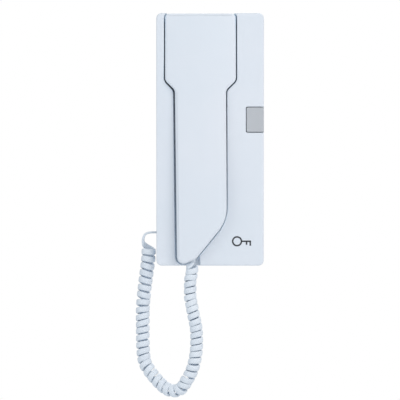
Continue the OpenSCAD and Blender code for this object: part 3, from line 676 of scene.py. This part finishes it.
def openings(bm, faces, boxes, axes):
    """Rectangular openings in flat faces, each between two corners, along two axes."""
    places = {(axis, round(corner[axis], 6)) for box in boxes for corner in box for axis in axes}
    planes = [([value] * 3, [1 if k == axis else 0 for k in range(3)]) for axis, value in sorted(places)]
    gone = []
    for face in cut_by(bm, faces, planes):
        middle = face.calc_center_median()
        if any(all(lo[k] < middle[k] < hi[k] for k in axes) for lo, hi in boxes):
            gone.append(face)
    bmesh.ops.delete(bm, geom=gone, context="FACES")


def flat_faces(bm, axis, value):
    """Faces that lie in the plane where one coordinate has a given value."""
    return [face for face in bm.faces if all(abs(v.co[axis] - value) < same_place for v in face.verts)]


# The slot for the hook lever's nub, the opening for the cord's plug, the buzzer's sound slots and a
# square for the counterbore of the cover's screw.
nub_slot = ((-0.01405, 0, -0.0294), (-0.00245, 0, -0.0148))
plug_opening = ((0, -0.01845, -0.0831), (0, -0.00995, -0.0761))
sound_slot_width = 0.0018
bore_middle = Vector((-0.00825, -0.011, base_bottom))
bore_radius = 0.0031
bore_depth = 0.0024
bore_square = 0.0042
bore_corner = Vector((bore_square, bore_square, 0))
under_boxes = [(bore_middle - bore_corner, bore_middle + bore_corner)]
for x in (0.014, 0.018, 0.022, 0.026, 0.03):
    under_boxes.append(((x, -0.02, 0), (x + sound_slot_width, -0.008, 0)))
openings(cover_bm, flat_faces(cover_bm, 1, grip_floor), [nub_slot], (0, 2))
openings(cover_bm, flat_faces(cover_bm, 0, base_left), [plug_opening], (1, 2))
openings(cover_bm, flat_faces(cover_bm, 2, base_bottom), under_boxes, (0, 1))


def round_the_bore(vert):
    """True for a vertex on the outline of the counterbore's square."""
    away = vert.co - bore_middle
    return max(abs(away.x), abs(away.y)) < bore_square + 1e-5 and abs(away.z) < same_place


square = [edge for edge in cover_bm.edges
          if edge.is_boundary and all(round_the_bore(v) for v in edge.verts)]
bore = bmesh.ops.create_circle(cover_bm, segments=24, radius=bore_radius,
                               matrix=Matrix.Translation(bore_middle))["verts"]
bore_edges = list({edge for vert in bore for edge in vert.link_edges})
bmesh.ops.bridge_loops(cover_bm, edges=square + bore_edges)
made = bmesh.ops.extrude_edge_only(cover_bm, edges=bore_edges)["geom"]
bmesh.ops.translate(cover_bm, vec=(0, 0, bore_depth),
                    verts=[item for item in made if isinstance(item, bmesh.types.BMVert)])
bmesh.ops.recalc_face_normals(cover_bm, faces=cover_bm.faces)


# White ABS: cool white with faint warmer and bluer patches and a fine spark-eroded grain. In the gap round
# the handset it is a painted lighter, bluer white, laid in through the corner mask in place of bounced
# light.
moulded_grain, grain_in, grain_out = new_group(
    "moulded_grain", [("Scale", "NodeSocketFloat", 2600.0)], [("Height", "NodeSocketFloat")])
grain_place = moulded_grain.nodes.new("ShaderNodeTexCoord")
grain_fine = moulded_grain.nodes.new("ShaderNodeTexNoise")
grain_fine.inputs["Detail"].default_value = 2
moulded_grain.links.new(grain_place.outputs["Object"], grain_fine.inputs["Vector"])
moulded_grain.links.new(grain_in.outputs["Scale"], grain_fine.inputs["Scale"])
moulded_grain.links.new(grain_fine.outputs["Fac"], grain_out.inputs["Height"])


def moulded_plastic(name, light, deep, grime_and_painted_light, roughness, grain=2600.0, bump=0.12, dust_and_painted_light=0.35):
    """A moulded plastic: two close colours in soft patches, grain, and a third colour laid into corners and
    gaps through the occlusion mask: dust on the black plastics, a darker corner colour on the others, and
    painted light, a lighter bluer white, in the white plastic's gaps.
    """
    material, tree, shader = new_material(name)
    patches = ranged(tree, noise_value(tree, 14, 2), 0.3, 0.7, 0, 1)
    body_colour = mixed(tree, patches, deep, light)
    # Corner colour through the occlusion mask: on the white plastic it is painted light, a lighter bluer
    # white in the gaps round the handset.
    mask = group_value(tree, corner_dust_and_painted_light, Distance=0.0022, Amount=dust_and_painted_light)
    tree.links.new(mixed(tree, mask, body_colour, grime_and_painted_light), shader.inputs["Base Color"])
    height = group_value(tree, moulded_grain, Scale=grain)
    tree.links.new(ranged(tree, noise_value(tree, 90, 4), 0.3, 0.7, roughness - 0.04, roughness + 0.05),
                   shader.inputs["Roughness"])
    bumped(tree, shader, height, bump, 0.00006)
    shader.inputs["IOR"].default_value = 1.5
    return material


# Painted light: the third colour, a lighter bluer white at full amount, brightens the gaps round the
# handset where shade falls.
white_plastic = moulded_plastic("white_plastic", (0.765, 0.80, 0.85), (0.735, 0.785, 0.84),
                                (0.84, 0.92, 0.98), 0.38, dust_and_painted_light=1.0)
cover = new_piece("base_cover", cover_bm, "base", white_plastic)
# The wall is thin where the recess's rounded ends come close to the top and bottom edges.
thin_share = 0.03
end_zone = 0.009
thick = cover.vertex_groups.new(name="thick")
for vert in cover.data.vertices:
    x = vert.co.x
    z = vert.co.z
    at_top = z > base_top - end_zone and min(abs(x + 0.0385), abs(x - 0.022)) < 0.006
    at_foot = z < base_bottom + end_zone and -0.034 < x < -0.004
    thick.add([vert.index], thin_share if at_top or at_foot else 1.0, "REPLACE")
walls = cover.modifiers.new("walls", "SOLIDIFY")
walls.thickness = cover_wall
walls.offset = -1
walls.vertex_group = "thick"
even = cover.modifiers.new("even_faces", "WEIGHTED_NORMAL")
even.keep_sharp = True
even.weight = 80
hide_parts("front_cover")

# ---------------------------------------------------------------- Handset front
# The handset's outer half, one thin moulding with a curved face and a round rim. It is screwed to
# the back half, and a fine line shows between them.
shell_wall = 0.002
split_y = -0.0313
face_round = 0.0021
handset_corners = [
    (-28.2, -109.2, 6.1), (-12.1, -102.2, 7.6), (14.3, -69.7, 30), (13.6, 42.1, 5.4),
    (22.05, 50.4, 5.6), (22.05, 107.7, 3.6), (-38.55, 107.7, 3.6), (-38.55, 50.4, 5.6),
    (-30.1, 42.1, 5.4)
]
handset_middle_x = -0.00825
grip_half_width = 0.0218
handset_depth = 0.0392
top_fall = 0.0009
long_crown = 0.0026
side_crown = 0.0009


def handset_y(x, z):
    """Y of the handset's curved front."""
    up = (z - base_bottom) / (base_top - base_bottom)
    depth = handset_depth - top_fall * up + long_crown * 4 * up * (1 - up)
    return side_crown * ((x - handset_middle_x) / grip_half_width) ** 2 - depth


shell_bm = bmesh.new()
rounded_face(shell_bm, handset_corners)
shell_bm.faces.ensure_lookup_table()
handset_face = shell_bm.faces[0]
if handset_face.normal.y > 0:
    handset_face.normal_flip()
face_steps = 6
for step in range(1, face_steps + 1):
    turn = quarter_round(shell_bm, handset_face, face_round, step, face_steps)
    for vert in handset_face.verts:
        vert.co.y = -face_round * math.sin(turn)
crown_cuts = [((0, 0, z / 1000), (0, 0, 1)) for z in range(-102, 107, 6)]
crown_cuts += [((x / 1000, 0, 0), (1, 0, 0)) for x in range(-36, 22, 5)]
cut_by(shell_bm, [handset_face], crown_cuts)
for vert in shell_bm.verts:
    vert.co.y += face_round + handset_y(vert.co.x, vert.co.z)
rim_edges = [edge for edge in shell_bm.edges if edge.is_boundary]
made = bmesh.ops.extrude_edge_only(shell_bm, edges=rim_edges)["geom"]
for item in made:
    if isinstance(item, bmesh.types.BMVert):
        item.co.y = split_y
bmesh.ops.recalc_face_normals(shell_bm, faces=shell_bm.faces)
front_shell = new_piece("handset_front", shell_bm, "handset", white_plastic)
walls = front_shell.modifiers.new("walls", "SOLIDIFY")
walls.thickness = shell_wall
walls.offset = -1
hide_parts("handset_front_shell")

# ---------------------------------------------------------------- Door button
# A grey ABS cap that wraps round the base's right edge. Its front follows the base's slope, and a
# thin flange behind the cover keeps it in.
cap_left = 0.03115
cap_z = (0.0064, 0.0274)
cap_foot = -0.0235
cap_proud = 0.0005
cap_round = 0.0006
flange_reach = 0.003
flange_inset = 0.0026
flange_y = (-0.0292, -0.0268)
button_bm = bmesh.new()
rounded_face(button_bm, [
    (cap_left * 1000, cap_z[0] * 1000, 1.2), (base_right * 1000, cap_z[0] * 1000, 0),
    (base_right * 1000, cap_z[1] * 1000, 0), (cap_left * 1000, cap_z[1] * 1000, 1.2)])
for vert in button_bm.verts:
    vert.co.y = front_y(vert.co.z) - cap_proud
button_rim = list(button_bm.edges)
made = bmesh.ops.extrude_edge_only(button_bm, edges=button_rim)["geom"]
for item in made:
    if isinstance(item, bmesh.types.BMVert):
        item.co.y = cap_foot
bmesh.ops.bevel(button_bm, geom=button_rim, offset=cap_round, offset_type="OFFSET", segments=4,
                profile=0.5, affect="EDGES", material=-1)
bmesh.ops.holes_fill(button_bm, edges=[edge for edge in button_bm.edges if edge.is_boundary], sides=0)
flange_lo = Vector((cap_left - flange_reach, flange_y[0], cap_z[0] - flange_reach))
flange_hi = Vector((base_right - flange_inset, flange_y[1], cap_z[1] + flange_reach))
for vert in bmesh.ops.create_cube(button_bm, size=1)["verts"]:
    vert.co = Vector((lo if side < 0 else hi for lo, hi, side in zip(flange_lo, flange_hi, vert.co)))
bmesh.ops.recalc_face_normals(button_bm, faces=button_bm.faces)
grey_plastic = moulded_plastic("grey_plastic", (0.50, 0.52, 0.545), (0.455, 0.475, 0.50),
                               (0.10, 0.10, 0.11), 0.42, grain=3200.0, bump=0.1)
door_button = new_piece("door_button_cap", button_bm, "door_button", grey_plastic)
even = door_button.modifiers.new("even_faces", "WEIGHTED_NORMAL")
even.keep_sharp = True
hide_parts("door_button")

# ---------------------------------------------------------------- Printed key
# A small key pictogram, pad-printed in dark ink on the cover's lower right corner.
print_middle = Vector((0.0269, 0, -0.0871))
ink_height = 0.00006
stroke = 0.0013
bow_radius = 0.0044
bow_x = -0.0038
shaft_end = 0.0082
print_bm = bmesh.new()
for radius in (bow_radius, bow_radius - stroke):
    bmesh.ops.create_circle(print_bm, segments=40, radius=radius)
bmesh.ops.bridge_loops(print_bm, edges=list(print_bm.edges))
bmesh.ops.translate(print_bm, vec=(bow_x, 0, 0), verts=print_bm.verts)
bars = [(bow_x + bow_radius - 0.0004, shaft_end, -stroke / 2, stroke / 2)]
for bit_end, bit_length in ((shaft_end, 0.0038), (0.005, 0.0030)):
    bars.append((bit_end - stroke, bit_end, -bit_length, 0.0))
for x0, x1, z0, z1 in bars:
    corners = ((x0, z0), (x1, z0), (x1, z1), (x0, z1))
    print_bm.faces.new([print_bm.verts.new((x, z, 0)) for x, z in corners])
bmesh.ops.rotate(print_bm, verts=print_bm.verts, cent=(0, 0, 0),
                 matrix=Matrix.Rotation(math.radians(90), 3, "X"))
bmesh.ops.translate(print_bm, vec=print_middle, verts=print_bm.verts)
for vert in print_bm.verts:
    vert.co.y = front_y(vert.co.z) - ink_height
bmesh.ops.recalc_face_normals(print_bm, faces=print_bm.faces)
for face in print_bm.faces:
    if face.normal.y > 0:
        face.normal_flip()
print_ink, tree, shader = new_material("print_ink")
ink_wear = ranged(tree, noise_value(tree, 1800, 3), 0.35, 0.6, 0, 1)
ink_colour = mixed(tree, ink_wear, (0.022, 0.024, 0.03), (0.04, 0.043, 0.05))
tree.links.new(ink_colour, shader.inputs["Base Color"])
tree.links.new(ranged(tree, ink_wear, 0, 1, 0.5, 0.62), shader.inputs["Roughness"])
new_piece("key_print", print_bm, "base", print_ink)

# ---------------------------------------------------------------- Handset back, lever and plate
# The handset's inner half and the hook lever are the same white ABS. The wall plate behind the
# cover is a plainer light grey ABS with a coarser grain.


def refinish(material, *names):
    """Gives CAD nodes a finished material."""
    for name in names:
        nodes[name].material_slots[0].material = material


refinish(white_plastic, "handset_back_shell", "hook_lever")
plate_plastic = moulded_plastic("plate_plastic", (0.60, 0.64, 0.69), (0.56, 0.60, 0.65),
                                (0.26, 0.27, 0.28), 0.5, grain=1800.0, bump=0.2)
refinish(plate_plastic, "wall_plate")

# ---------------------------------------------------------------- Metal pieces
# Zinc-plated steel screws, bracket, pin and spring, a brass sounder disc, the microphone's spun
# aluminium can and the cast balance weight. Fine scratches run across the turned and rolled ones.
scratches, scratches_in, scratches_out = new_group(
    "scratches", [("Scale", "NodeSocketFloat", 400.0)], [("Mask", "NodeSocketFloat")])
scratch_place = scratches.nodes.new("ShaderNodeTexCoord")
scratch_stretch = scratches.nodes.new("ShaderNodeMapping")
scratch_stretch.inputs["Scale"].default_value = (0.12, 1.0, 4.0)
scratch_noise = scratches.nodes.new("ShaderNodeTexNoise")
scratch_noise.inputs["Detail"].default_value = 5
scratches.links.new(scratch_place.outputs["Object"], scratch_stretch.inputs["Vector"])
scratches.links.new(scratch_stretch.outputs["Vector"], scratch_noise.inputs["Vector"])
scratches.links.new(scratches_in.outputs["Scale"], scratch_noise.inputs["Scale"])
scratch_mask = ranged(scratches, scratch_noise.outputs["Fac"], 0.35, 0.65, 0, 1)
scratches.links.new(scratch_mask, scratches_out.inputs["Mask"])


def worked_metal(name, light, deep, roughness, scale, metallic=1.0, tarnish=(0.16, 0.15, 0.14)):
    """A metal with fine scratches, uneven polish and tarnish in its corners."""
    material, tree, shader = new_material(name)
    lines = group_value(tree, scratches, Scale=scale)
    stain = group_value(tree, corner_dust_and_painted_light, Distance=0.0012, Amount=0.6)
    colour = mixed(tree, noise_value(tree, 220, 4), light, deep)
    tree.links.new(mixed(tree, stain, colour, tarnish), shader.inputs["Base Color"])
    tree.links.new(ranged(tree, lines, 0, 1, roughness - 0.08, roughness + 0.1), shader.inputs["Roughness"])
    shader.inputs["Metallic"].default_value = metallic
    bumped(tree, shader, lines, 0.15, 0.00004)
    return material


steel = worked_metal("steel", (0.62, 0.63, 0.64), (0.50, 0.51, 0.53), 0.32, 900.0)
refinish(steel, "cover_screw", "board_screws", "terminal_screws", "lever_bracket", "lever_pin",
         "lever_spring", "handset_screws")
brass = worked_metal("brass", (0.76, 0.58, 0.25), (0.66, 0.48, 0.19), 0.28, 700.0)
refinish(brass, "buzzer_disc")
capsule_can = worked_metal("capsule_can", (0.72, 0.73, 0.74), (0.63, 0.64, 0.66), 0.38, 1200.0)
refinish(capsule_can, "microphone_capsule")
weight_iron = worked_metal("weight_iron", (0.30, 0.31, 0.32), (0.20, 0.20, 0.21), 0.6, 300.0, 0.9)
refinish(weight_iron, "balance_weight")

# ---------------------------------------------------------------- Circuit board
# Glass-fibre board under green solder resist. Tracks show through it as slightly lighter raised
# bands that run up and across, over the weave of the glass.
board_resist, tree, shader = new_material("board_resist")
board_place = tree.nodes.new("ShaderNodeTexCoord")
board_turn = tree.nodes.new("ShaderNodeMapping")
board_turn.inputs["Rotation"].default_value = (math.radians(90), 0, 0)
tracks = tree.nodes.new("ShaderNodeTexBrick")
tracks.inputs["Scale"].default_value = 160
tracks.inputs["Mortar Size"].default_value = 0.14
tracks.inputs["Mortar Smooth"].default_value = 0.4
tracks.inputs["Brick Width"].default_value = 0.9
tracks.inputs["Row Height"].default_value = 0.42
tree.links.new(board_place.outputs["Object"], board_turn.inputs["Vector"])
tree.links.new(board_turn.outputs["Vector"], tracks.inputs["Vector"])
track_mask = ranged(tree, tracks.outputs["Fac"], 0, 1, 0, 1)
weave = noise_value(tree, 1400, 2, (1, 1, 6))
resist = mixed(tree, weave, (0.014, 0.115, 0.036), (0.022, 0.15, 0.05))
tree.links.new(mixed(tree, track_mask, resist, (0.045, 0.24, 0.085)), shader.inputs["Base Color"])
tree.links.new(ranged(tree, weave, 0.3, 0.7, 0.28, 0.4), shader.inputs["Roughness"])
bumped(tree, shader, track_mask, 0.4, 0.00005)
refinish(board_resist, "circuit_board")

# ---------------------------------------------------------------- Parts on the board
# Black and red moulded switches, sounder, chip and socket, blue-grey terminals, the laminated
# transformer, sleeved capacitors and banded resistors.
black_plastic = moulded_plastic("black_plastic", (0.012, 0.012, 0.013), (0.02, 0.02, 0.021),
                                (0.07, 0.068, 0.065), 0.42, grain=2400.0, bump=0.2)
refinish(black_plastic, "call_buzzer", "speech_chip", "hook_switch", "button_switch", "cord_socket",
         "earpiece_capsule")
red_plastic = moulded_plastic("red_plastic", (0.62, 0.045, 0.03), (0.52, 0.035, 0.025),
                              (0.2, 0.03, 0.03), 0.4, grain=2400.0)
refinish(red_plastic, "hook_switch_stem", "button_switch_stem")
terminal_plastic = moulded_plastic("terminal_plastic", (0.035, 0.11, 0.27), (0.028, 0.09, 0.23),
                                   (0.09, 0.10, 0.12), 0.45, grain=2200.0, bump=0.18)
refinish(terminal_plastic, "terminal_block")


def banded(name, colours, scale, axis, roughness, bump, metallic=0.0):
    """A part with even bands along one axis: laminations, printed stripes or colour rings."""
    material, tree, shader = new_material(name)
    wave = tree.nodes.new("ShaderNodeTexWave")
    wave.bands_direction = axis
    wave.inputs["Scale"].default_value = scale
    wave.inputs["Distortion"].default_value = 0.4
    place = tree.nodes.new("ShaderNodeTexCoord")
    tree.links.new(place.outputs["Object"], wave.inputs["Vector"])
    bands = ranged(tree, wave.outputs["Fac"], 0.4, 0.6, 0, 1)
    dust_mask = group_value(tree, corner_dust_and_painted_light, Distance=0.001, Amount=0.4)
    colour = mixed(tree, bands, colours[0], colours[1])
    tree.links.new(mixed(tree, dust_mask, colour, (0.1, 0.095, 0.09)), shader.inputs["Base Color"])
    tree.links.new(ranged(tree, noise_value(tree, 300, 3), 0.3, 0.7, roughness - 0.05, roughness + 0.08),
                   shader.inputs["Roughness"])
    shader.inputs["Metallic"].default_value = metallic
    bumped(tree, shader, bands, bump, 0.0001)
    return material


refinish(banded("transformer_core", [(0.10, 0.09, 0.08), (0.20, 0.18, 0.16)], 900, "Y", 0.5, 0.5, 0.6),
         "speech_transformer")
refinish(banded("capacitor_sleeve", [(0.013, 0.018, 0.045), (0.03, 0.04, 0.08)], 60, "X", 0.3, 0.1),
         "capacitors")
refinish(banded("resistor_body", [(0.62, 0.46, 0.24), (0.28, 0.10, 0.05)], 190, "X", 0.4, 0.1), "resistors")

# ---------------------------------------------------------------- Plug, rubber and wires
# A clear moulded plug on the cord's end, black rubber round both capsules, a soft white grommet in
# the handset's foot and thin PVC-covered leads.
clear_plastic, tree, shader = new_material("clear_plastic")
haze = noise_value(tree, 260, 4)
tree.links.new(mixed(tree, haze, (0.86, 0.90, 0.94), (0.76, 0.80, 0.84)), shader.inputs["Base Color"])
tree.links.new(ranged(tree, haze, 0.3, 0.7, 0.08, 0.22), shader.inputs["Roughness"])
shader.inputs["Transmission Weight"].default_value = 0.85
shader.inputs["IOR"].default_value = 1.58
refinish(clear_plastic, "cord_plug")
dark_rubber = moulded_plastic("dark_rubber", (0.018, 0.018, 0.019), (0.028, 0.027, 0.027),
                              (0.11, 0.105, 0.10), 0.72, grain=1500.0, bump=0.35, dust_and_painted_light=0.6)
refinish(dark_rubber, "earpiece_gasket", "microphone_boot")
white_rubber = moulded_plastic("white_rubber", (0.70, 0.755, 0.81), (0.64, 0.70, 0.76),
                               (0.34, 0.36, 0.38), 0.6, grain=1600.0, bump=0.25, dust_and_painted_light=0.5)
refinish(white_rubber, "handset_grommet")
red_wire = moulded_plastic("red_wire", (0.50, 0.03, 0.022), (0.42, 0.025, 0.02), (0.14, 0.05, 0.05), 0.36)
refinish(red_wire, "receiver_leads")
white_wire = moulded_plastic("white_wire", (0.74, 0.74, 0.71), (0.68, 0.68, 0.65), (0.36, 0.35, 0.34), 0.38)
refinish(white_wire, "microphone_leads")
